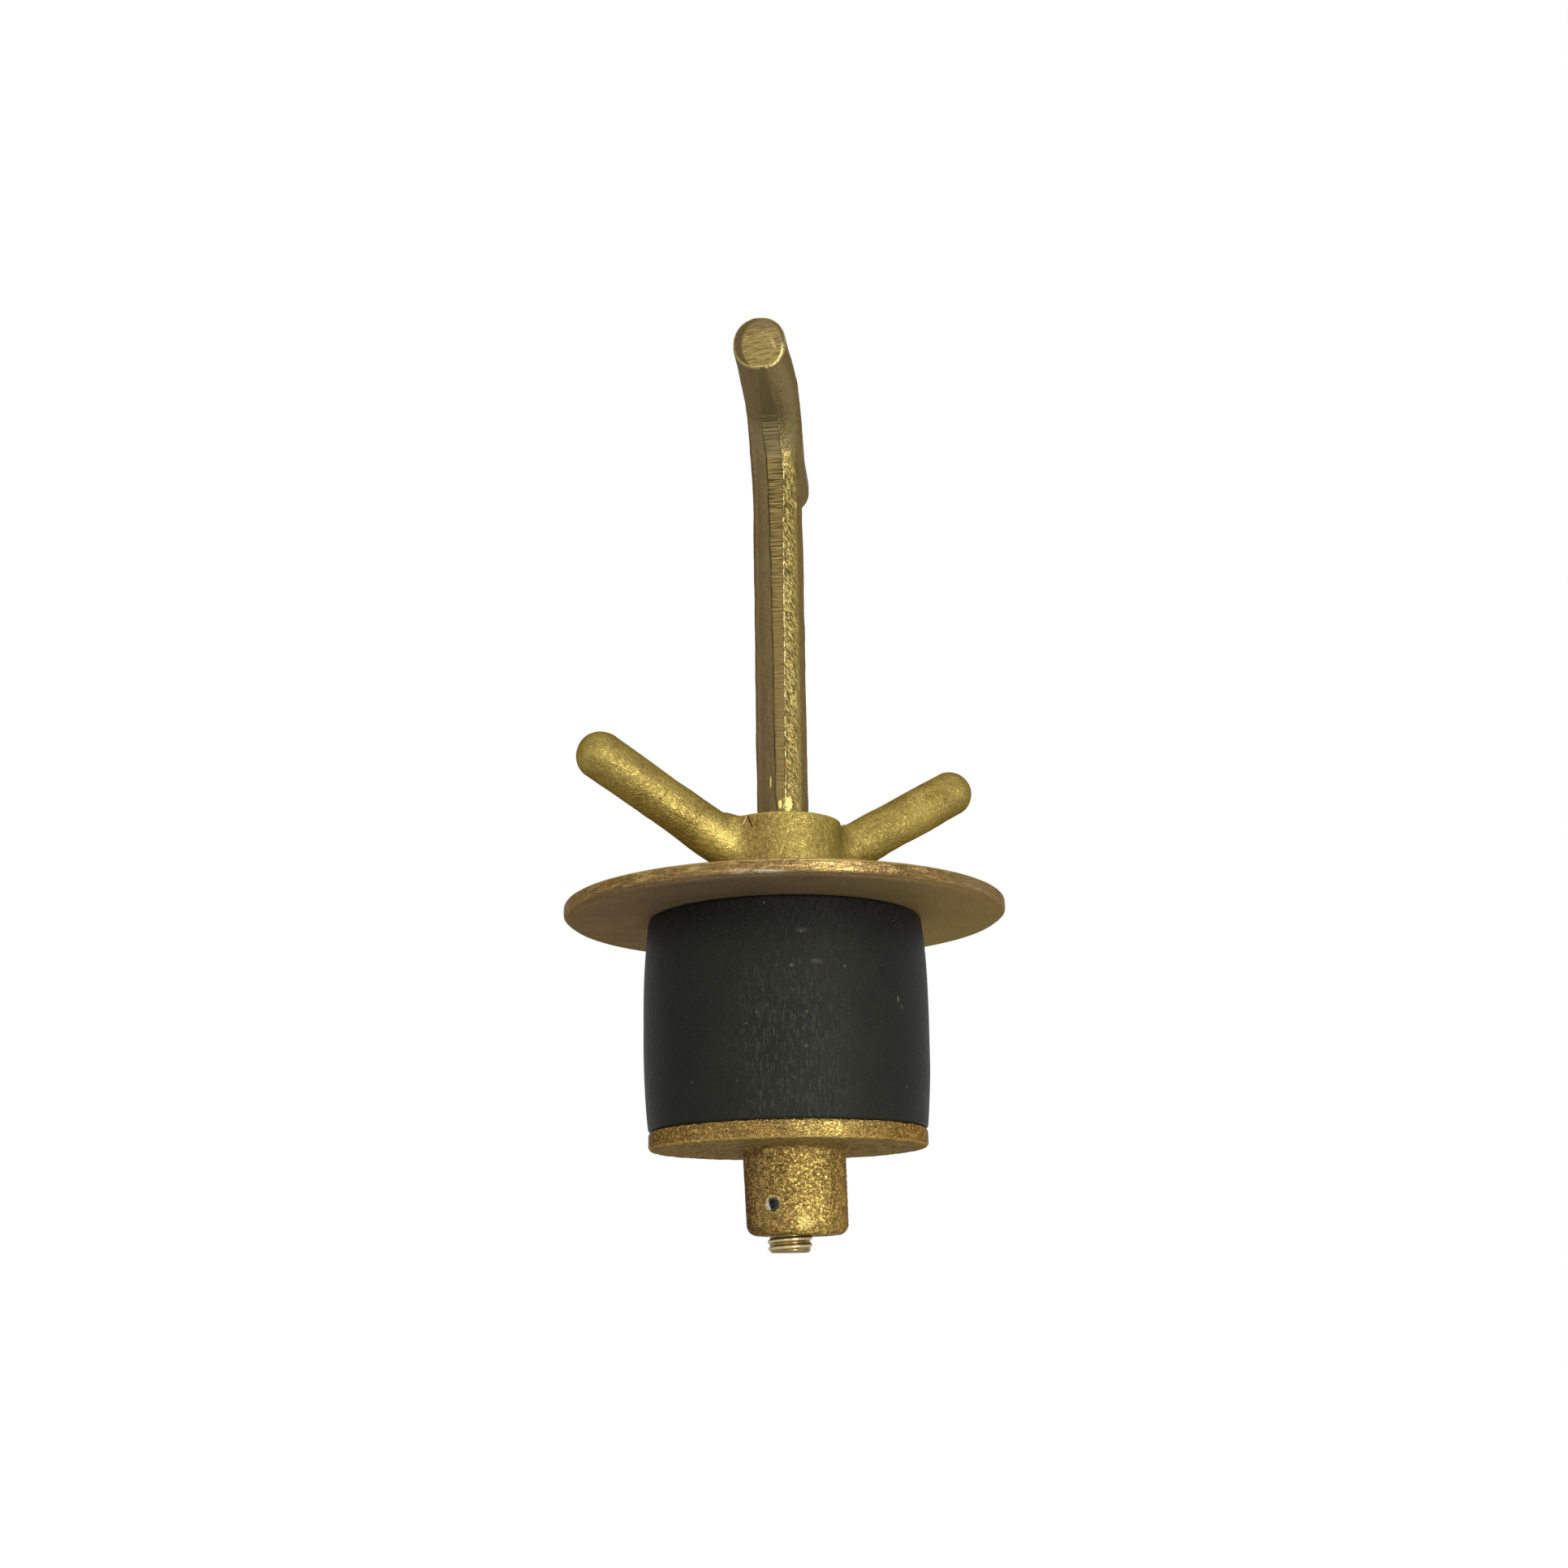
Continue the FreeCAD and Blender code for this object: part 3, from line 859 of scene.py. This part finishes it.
def handle_finish():
    """Olive-gold sand-cast brass, filed along the parting line and sawn off at the bar's ends."""
    coat = Finish("handle brass", 0.8, 0.05, brass_edge)
    point, x, y, z, kept, grain = coat.point, coat.x, coat.y, coat.z, coat.kept, coat.grain
    across = x + z.rise(bend_low, bend_high, 0, bar_sideways)
    place = z - y
    ragged = coat.ragged(0.9)
    below = coat.use(painted_downward_shading, From=-0.15, Full=-0.85)

    # Filed strip in the middle, with the lip on its right and the step of the mould on its left,
    # whose shadow is painted as a dark line
    front = kept("strip front")
    right_gap = across - kept("strip half") + ragged * 0.2
    left_gap = across * -1 - kept("strip left half") + ragged * 0.12
    on_stem = place.rise(110, 106)
    on_bar = 1 - on_stem
    right = right_gap.rise(-0.04, 0.08) * front
    left_side = left_gap.rise(-0.04, 0.08) * front
    left = left_side * on_stem
    strip = front * (1 - right) * (1 - left_side)
    lip = (abs(right_gap - 0.14).rise(0.26, 0.06) * front
           * grain(point, 1.3, 2, 0.6).rise(0.46, 0.56) * on_stem)
    step_shadow = (abs(left_gap).rise(0.24, 0.04) * front * on_stem
                 * grain(point, 5, 1).rise(0.35, 0.6, 0.35, 1))
    marks = kept("file marks") * strip * place.rise(55, 85, 0.6, 1)
    file_lines = grain(coat.joined(0, x * 0.1, place * 2.4), 1, 2, 0.7)
    file_colour = coat.tint(file_lines.rise(0.38, 0.60), (60, 48, 29), (146, 127, 78))
    cuts = coat.most(*(abs(place - mark).rise(0.42, 0.12) for mark in single_marks)) * strip

    # Cast metal beside it: rough band on the right, streaks on the left, rubbed and torn spots,
    # and painted light and shade on its sides
    slanted = coat.joined(x, y, z + x * ridge_slant)
    skin_height, peaks, hollows = coat.cast(0.75, 0.09, coat.stretched(slanted, 1, 1, 0.8))
    streaks = grain(coat.stretched(point, 0.35, 0.35, 6), 1, 3, 0.6)
    # The left flank and the left of the bar's lower face, painted darker: painted shade
    beside = coat.most(on_bar * left_side, across.rise(-2.6, -4))
    band = kept("rough band")
    ridges = grain(coat.stretched(slanted, 0.5, 0.5, 0.56), 1, 1, 0.5, 0.5)
    lower = z.rise(48, 24)
    band_colour = coat.tint(ridges.rise(0.42, 0.58), coat.tint(lower, (84, 71, 40), (92, 79, 44)),
                            coat.tint(lower, (164, 147, 86), (148, 132, 76)))
    # The band fades darker where the stem turns away from the light: painted shade
    band_colour = coat.tint(right_gap.rise(0.8, 2.6, 0, 0.5), band_colour, (118, 103, 60))
    polished = coat.most(*(coat.spot(point, spot, size, ragged, tall, soft) * share
                           for spot, size, tall, soft, share in polished_spots))

    # Sawn face on the bar's end, with a burr left along its edge
    sawn = kept("sawn end")
    saw_slant = coat.joined(x, y, z - x * 0.12)
    saw_lines = grain(coat.stretched(saw_slant, 2, 2, 0.3), 1, 3, 0.7, 0.5)
    saw_colour = coat.tint(saw_lines.rise(0.36, 0.6), (104, 88, 54), (146, 128, 78))
    saw_colour = coat.tint(z.rise(102.2, 104.2, 0, 0.6), saw_colour, (98, 84, 58))
    dab = coat.stroke(x, z, *saw_dab)
    saw_colour = coat.tint(dab * 0.7, saw_colour, (178, 158, 102))
    oval = coat.length((across - face_x) / face_half_x, (z - face_z) / face_half_z)
    outside = (oval - 1) * ((face_half_x + face_half_z) / 2)
    burr = (abs(outside - 0.1).rise(0.26, 0.08) * y.rise(0.7 - bar_end, 0.3 - bar_end)
            * (across - z).rise(-96.6, -95.4)
            * grain(point, 0.6).rise(0.4, 0.55, 0.35, 1))

    coat.start(coat.film(7, 0.45), (142, 124, 70), (116, 99, 60))
    coat.lay(
        (coat.film(1.3, 0.35), 0.5, (98, 83, 52)),
        # Right of the strip painted lighter: painted light
        (right, 0.45, (152, 135, 74)),
        (hollows, 0.5, (70, 58, 34)),
        (peaks, 0.3, (196, 178, 112)),
        # Left of the strip painted darker over its streaks: painted shade on the streaked mould
        # half
        (left, 0.75, coat.tint(streaks, (74, 61, 43), (108, 92, 65))),
        (beside, 0.85, coat.tint(streaks, (98, 84, 62), (124, 108, 80))),
        # Far right edge, turning away from the light, painted darker: painted shade
        (across.rise(3, 4.2), 0.8, (124, 109, 74)),
        # Right of the strip under the bar painted lighter: painted light
        (right * on_bar, 0.7, (146, 130, 92)),
        (band * place.rise(106, 90, 0.15, 1), 1, band_colour),
        (strip, 0.85, coat.tint(on_stem, (118, 106, 80), (112, 95, 56))),
        (marks, 0.85, file_colour),
        # Painted shadow of the mould's step along the strip's left border
        (step_shadow, 0.75, (58, 47, 32)),
        (cuts, 0.85, (204, 186, 130)),
        (polished, 1, (240, 222, 128)),
        (lip, 0.9, (236, 220, 150)))
    for spot, size, tall, share in torn_spots:
        coat.lay((coat.spot(point, spot, size, ragged * 4, tall, 0.5), share, (214, 190, 122)))
    coat.lay(
        (sawn, 1, saw_colour),
        (kept("rounded end"), 0.85, (92, 77, 52)),
        # Lower faces painted lighter and greyer: painted light
        (below, 0.5, (138, 126, 96)),
        (coat.worn(0.45), 1, (186, 166, 106)),
        (burr, 1, (244, 226, 154)))
    shiny = coat.most(ridges.rise(0.45, 0.6) * band * 0.04, lip * 0.2, polished * 0.2)
    plain = (1 - strip) * (1 - sawn) * left.rise(0, 1, 1, 0.25) * (1 - band)
    height = (skin_height * plain + ridges * band * 0.24 + file_lines * marks * 0.3
              + saw_lines * sawn * 0.14 + lip * 0.15 + right * 0.12 - left * 0.12)
    return coat.done(hollows.rise(0, 1, 0.4, 0.55) + below * 0.1 - shiny, height)


def nut_finish():
    """Fine yellow-green sand-cast brass."""
    coat = Finish("nut brass", 0.85, 0.05, brass_edge)
    point, x, y, z = coat.point, coat.x, coat.y, coat.z
    radius, ragged = coat.length(x, y), coat.ragged(0.9)
    height, peaks, hollows = coat.cast(0.8, 0.1)
    on_boss = radius.rise(boss_radius + 1.2, boss_radius + 0.3)
    in_front = y.rise(0, -2)
    crack = coat.most(coat.stroke(x, z, *nut_crack) * in_front, coat.spot(point, *nut_pit, ragged))
    burr = coat.stroke(x, z, *nut_burr) * in_front
    coat.start(coat.film(6, 0.4), (155, 136, 72), (131, 113, 59))
    coat.lay(
        (on_boss, 0.25, (120, 104, 56)),
        # Left front of the boss painted darker and redder: painted shade
        (on_boss * x.rise(1, -2.5) * y.rise(2, -2), 0.55, (128, 98, 56)),
        (coat.film(1.8, 0.25), 0.25, (108, 92, 50)),
        (hollows, 0.4, (94, 79, 42)),
        (peaks, 0.28, (206, 186, 106)),
        # Lower faces painted darker: painted shade
        (coat.use(painted_downward_shading, From=-0.2, Full=-0.9), 0.5, (132, 113, 60)),
        # Outer part of the wings painted darker to tone down the lamp's highlight: painted shade
        (radius.rise(27, 36), 0.45, (128, 111, 60)),
        # Painted light at the left wing's root, which the lamps leave in shade
        (coat.spot(point, *painted_root_light, ragged, 0.8, 0.8), 0.7, (210, 188, 106)),
        (coat.worn(0.4), 1, (192, 172, 98)),
        (crack, 0.85, (62, 50, 28)),
        (burr, 0.8, (226, 208, 140)))
    return coat.done(hollows.rise(0, 1, 0.5, 0.58) - peaks * 0.1, height - crack * 0.15)


def cover_finish():
    """Turned brass disc: golden brown rim with fine lines, matt lower face; painted light on both.
    """
    coat = Finish("cover brass", 0.85, 0.05, rim_edge)
    x, z, turn = coat.x, coat.z, coat.turn()
    radius = coat.length(x, coat.y)
    line_height, tone = coat.lines(0.3, 2, 0.03)
    skin_height, peaks, hollows = coat.cast(0.7, 0.06)
    waves = coat.grain(coat.joined(turn * 12, z * 1.6, 0), 1, 3, 0.6, 0.8)
    on_rim = radius.rise(cover_radius - 0.8, cover_radius - 0.3)
    on_top = (z.rise(cover_top - 0.5, cover_top - 0.1)
              * radius.rise(cover_radius - 0.9, cover_radius - 1.6))
    below = coat.use(painted_downward_shading, From=-0.6, Full=-0.97)
    # Colour of the lower face, lighter towards +X where the light comes from: painted light; brown
    # stains on its left
    golden = coat.tint(x.rise(-12, 26), (132, 117, 93), (152, 133, 92))
    stains = coat.film(5, 0.5, coat.stretched(coat.point, 2, 1, 1))
    golden = coat.tint(stains * x.rise(14, -16, 0.1, 0.4), golden, (108, 88, 68))
    rubbed_low = (turn.band(-1.71, -1.50, 0.04) * on_rim
                  * z.rise(cover_under + 1.1, cover_under + 0.5) * waves.rise(0.35, 0.55))
    coat.start(coat.film(9, 0.45), (125, 99, 58), (101, 79, 48))
    coat.lay(
        # Painted highlight in a band round the rim
        (turn.band(-1.40, -1.21, 0.10) * on_rim, 0.32, (226, 196, 122)),
        (tone.rise(0.42, 0.66), 0.35, (98, 76, 46)),
        (waves.rise(0.5, 0.62) * on_rim, 0.5, (190, 162, 106)),
        (waves.rise(0.45, 0.34) * on_rim, 0.5, (92, 72, 46)),
        (coat.film(1.2, 0.2), 0.5, (88, 68, 42)),
        (hollows, 0.3, (80, 62, 38)),
        (peaks, 0.25, (190, 162, 102)),
        # Flat top painted lighter, so that the wings above reflect more light: painted light
        (on_top, 0.88, (160, 141, 80)),
        # Lower face painted in a lighter colour: painted light
        (below, 0.8, golden),
        # Left and right sides of the rim painted lighter and greyer: painted reflection
        (abs(x).rise(26, 39) * on_rim, 0.65, (148, 132, 106)),
        (coat.worn(0.55), 1, (192, 166, 110)),
        (rubbed_low, 0.75, (206, 194, 176)))
    return coat.done(tone.rise(0.3, 0.7, 0.25, 0.38) + below * 0.28,
                     line_height + skin_height + waves * on_rim * 0.2)


def collar_finish():
    """Orange-gold cast brass, finely rough on the plate and beaded on the hub."""
    coat = Finish("collar brass", 0.85, 0.05, brass_edge)
    point, x, y, z = coat.point, coat.x, coat.y, coat.z
    on_hub = z.rise(plate_low - 0.1, plate_low - 0.7)
    on_plate = 1 - on_hub
    flatter = coat.stretched(point, 1.2, 1.2, 0.8)
    plate_height, plate_peaks, plate_hollows = coat.cast(0.72, 0.32, flatter)
    hub_height, hub_peaks, hub_hollows = coat.cast(0.62, 0.26)
    beaded = coat.most(x.rise(-5, -1.5, 0.2, 1) * x.rise(10, 7, 0.5, 1),
                       z.rise(plate_low - 3, plate_low - 1, 0, 0.9))
    crevices = coat.nearest(point, bead_size).rise(0.38, 0.62) * beaded
    dull_and_shaded = coat.use(painted_downward_shading, From=-0.5, Full=-0.95) * on_plate
    dirt_and_shade = coat.tint(coat.film(2.6, 0.5), (134, 118, 76), (98, 84, 56))
    rubbed = coat.spot(point, *rubbed_hub, coat.ragged(0.7, 0.7) * 3, 1, 0.35)
    coat.start(coat.film(7, 0.4), (152, 121, 66), (122, 96, 55))
    coat.lay(
        # Painted highlight in a band round the rim
        (coat.turn().band(-1.40, -1.02, 0.2) * on_plate, 0.5, (236, 204, 114)),
        (on_hub, 0.7, (166, 136, 76)),
        # Painted highlight on the front of the hub
        (x.band(1.2, 7.2, 1.8) * on_hub * y.rise(-2, -4), 0.75, (236, 202, 110)),
        # Left side of the plate and hub painted darker, the hub's left more so: painted shade
        (x.rise(-2, -16), 0.5, (104, 80, 52)),
        (x.rise(-1, -6) * on_hub, 0.92, (84, 67, 52)),
        (x.rise(7, 9) * on_hub, 0.6, (164, 137, 86)),
        (coat.film(1.1, 0.3), 0.5, (86, 66, 38)),
        # Lower face of the plate painted darker and greyer, with blotches of dirt: painted shade
        # and dirt
        (dull_and_shaded, 0.85, dirt_and_shade),
        (plate_hollows, 0.55, (80, 60, 34)),
        (plate_peaks, 0.5, (222, 188, 108)))
    plate_colour = coat.colour
    coat.lay(
        (hub_hollows, beaded * 0.4, (84, 64, 34)),
        (hub_peaks, beaded * 0.6, (236, 206, 120)),
        (crevices, 0.55, (84, 64, 36)))
    coat.colour = coat.tint(on_hub, plate_colour, coat.colour)
    coat.lay(
        (rubbed, 0.7, (246, 220, 132)),
        (coat.kept("bore rim"), 0.6, (196, 174, 128)),
        (coat.worn(0.5), 1, (196, 164, 96)))
    height = plate_height * on_plate + hub_height * on_hub * beaded - crevices * on_hub * 0.10
    return coat.done(hub_hollows.rise(0, 1, 0.28, 0.44) + dull_and_shaded * 0.25, height)


def thread_finish():
    """Cut thread: cleaner, paler metal with dark film in the roots."""
    coat = Finish("thread brass", 0.85, 0.3)
    height, tone = coat.lines(0.25, 1, 0.04)
    coat.start(coat.film(1.5, 0.35), (134, 117, 78), (92, 78, 50))
    coat.lay((coat.worn(0.8), 1, (196, 180, 132)))
    return coat.done(tone.rise(0.3, 0.7, 0.22, 0.38), height)


def rubber_finish():
    """Matt charcoal rubber with fine wavy ripples, dust specks and a few scuffs."""
    coat = Finish("sleeve rubber", 0, 0.07)
    point, x, z = coat.point, coat.x, coat.z
    wall = coat.joined(coat.turn() * (1.5 * sleeve_radius), z * 0.38, 0)
    ripples = coat.grain(wall, 0.6, 2, 0.5, 1)
    fine = coat.grain(point, 0.45, 3, 0.7)
    darker = coat.most(x.rise(-10, -24), z.rise(sleeve_head - 12, sleeve_head))
    lower = z.rise(sleeve_head - 4, sleeve_head - 24)
    painted_sheen_zone = x.rise(-12, 0) * x.rise(16, 6) * lower.rise(0, 1, 0.25, 1)
    chosen = coat.grain(point, 4, 1).rise(0.5, 0.6)
    specks = coat.nearest(point, speck_spacing).rise(0.09, 0.04) * chosen
    coat.start(coat.grain(point, 7, 4, 0.6), (25, 26, 22), (39, 40, 33))
    coat.lay(
        # Left side and top under the cover painted darker: painted shade
        (darker, 0.85, (14, 14, 13)),
        # Right side painted darker: painted shade
        (x.rise(12, 25), 0.5, (14, 14, 11)),
        # Ripple crests painted lighter where the lamp's sheen falls: painted sheen
        (ripples.rise(0.48, 0.68) * painted_sheen_zone, 0.5, (68, 69, 58)),
        (fine.rise(0.5, 0.75), 0.3, (68, 68, 58)),
        (specks, 0.6, (112, 108, 92)))
    for spot, size, tall, pale in rubber_marks:
        coat.lay((coat.spot(point, spot, size, fine - 0.5, tall, 0.9), pale, (112, 110, 94)))
    return coat.done(fine.rise(0.3, 0.7, 0.46, 0.64), fine * 0.04 + ripples * 0.09)


def steel_finish():
    """Dark steel of the grub screw, with a painted highlight on one side of its face."""
    coat = Finish("screw steel", 0.85, 0.5)
    cloud = coat.grain(coat.point, 0.5, 3, 0.6)
    turn = math.radians(cross_bore_turn)
    across = coat.y * math.cos(turn) - coat.x * math.sin(turn)
    # One side of the face, lit: painted highlight
    rubbed = (across + (coat.z - cross_bore_height) * 0.3).rise(-0.6, -0.85)
    coat.start(cloud, (30, 31, 32), (62, 63, 63))
    coat.lay((rubbed, 1, (160, 160, 152)))
    return coat.done(cloud.rise(0.3, 0.7, 0.22, 0.4), cloud * 0.01)


# ---- the pieces in place

thread_brass = thread_finish()
pieces = [(build_handle(), handle_finish(), "spindle", "handle_brass", "handle_spindle"),
          (build_screw(), thread_brass, "spindle", "handle_brass", "handle_spindle"),
          (build_tail(), thread_brass, "spindle", "handle_brass", "handle_spindle"),
          (build_nut(), nut_finish(), "nut", "nut_brass", "wing_nut"),
          (build_collar(), collar_finish(), "spindle", "collar_brass", "base_collar"),
          (build_cover(), cover_finish(), "cover", "cover_brass", "cover_flange"),
          (build_sleeve(), rubber_finish(), "cover", "sleeve_rubber", "rubber_sleeve")]
for piece, material, body, slot, node in pieces:
    piece.data.materials.append(material)
    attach(piece, body)
    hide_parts(node)
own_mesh(pieces[-1][0])

screw_steel = steel_finish()
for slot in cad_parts["set_screw"].material_slots:
    slot.material = screw_steel

# ---- floor, light and camera

def seen_directly(bench):
    """1 for rays from the eye, also by way of mirrors and glass; 0 for light that falls."""
    path = bench.put("ShaderNodeLightPath")
    return bench.most(*(Value(bench, path.outputs[ray]) for ray in
                        ("Is Camera Ray", "Is Glossy Ray", "Is Transmission Ray")))


def floor_finish():
    """Pale floor that keeps the object's shadow and runs out into the white background."""
    material = bpy.data.materials.new("pale floor")
    material.use_nodes = True
    material.node_tree.nodes.clear()
    bench = Bench(material.node_tree)
    x, y, _ = bench.split(bench.value("ShaderNodeTexCoord", None, "Object"))
    far = bench.length(x, y).rise(fade_from, fade_to, near_glow, 1)
    matt = bench.value("ShaderNodeBsdfDiffuse", {"Color": shade(228, 227, 224)})
    strength = far * seen_directly(bench)
    glow = bench.value("ShaderNodeEmission", {"Color": white, "Strength": strength})
    both = bench.value("ShaderNodeAddShader", {0: matt, 1: glow})
    bench.put("ShaderNodeOutputMaterial", {"Surface": both})
    return material


def white_surroundings(ambient):
    """World that is white to the eye and in reflections, and gives a plain soft light."""
    world = bpy.data.worlds.new("studio")
    bpy.context.scene.world = world
    world.use_nodes = True
    world.node_tree.nodes.clear()
    bench = Bench(world.node_tree)
    strength = seen_directly(bench).rise(0, 1, ambient, 1)
    back = bench.value("ShaderNodeBackground", {"Color": white, "Strength": strength})
    bench.put("ShaderNodeOutputWorld", {"Surface": back})


def soft_lamp(name, turn, lift, distance, width, height, power):
    """Area lamp aimed at the middle of the object; turn and lift in degrees."""
    lamp = bpy.data.lights.new(name, "AREA")
    lamp.shape = "RECTANGLE"
    lamp.size, lamp.size_y = width, height
    lamp.energy = power
    holder = bpy.data.objects.new(name, lamp)
    bpy.context.scene.collection.objects.link(holder)
    turn, lift = math.radians(turn), math.radians(lift)
    away = Vector((math.cos(turn), math.sin(turn), math.tan(lift))) * math.cos(lift)
    holder.location = lamp_target + away * distance
    holder.rotation_euler = away.to_track_quat("Z", "Y").to_euler()


white = (1, 1, 1, 1)
floor_height = -270
floor_half = 4000
fade_from, fade_to, near_glow = 0.5, 1.1, 0.35
corners = [(-1, -1), (1, -1), (1, 1), (-1, 1)]
floor_points = np.array([(a * floor_half, b * floor_half, floor_height) for a, b in corners])
floor = mesh_object("studio_floor", floor_points, [[0, 1, 2, 3]])
floor.data.materials.append(floor_finish())

# Lamps: turn and lift in degrees, distance, width and height in metres, power in watts
lamp_target = Vector((0, 0, 0.02))
lamps = (("key lamp", -58, -5, 0.9, 0.22, 0.26, 5.8),
         ("front lamp", -104, -6, 1, 0.4, 0.4, 1.1),
         ("fill lamp", -150, 25, 1.5, 0.9, 0.9, 1),
         ("top lamp", -70, 72, 1.3, 0.7, 0.7, 3),
         ("back lamp", 100, 35, 1.5, 1, 1, 2.5))
white_surroundings(0.35)
for lamp in lamps:
    soft_lamp(*lamp)

# Camera at the photograph's viewing angle: below the cover, looking up along the bar
photo_size = 1932
focal_pixels = 2380.5
camera_place = Vector((0.02505, -0.35001, -0.06909))
camera_turn, camera_roll, camera_pitch = math.radians(4.3), 0.0166, 0.2658
sensor_width = 36

camera_data = bpy.data.cameras.new("photo camera")
camera_data.sensor_width = sensor_width
camera_data.lens = sensor_width * focal_pixels / photo_size
camera = bpy.data.objects.new("photo camera", camera_data)
bpy.context.scene.collection.objects.link(camera)
camera.matrix_world = (Matrix.Translation(camera_place) @ Matrix.Rotation(camera_turn, 4, "Z")
                       @ Matrix.Rotation(camera_roll, 4, "Y")
                       @ Matrix.Rotation(math.pi / 2 + camera_pitch, 4, "X"))
bpy.context.scene.camera = camera
bpy.context.scene.view_settings.view_transform = "Standard"
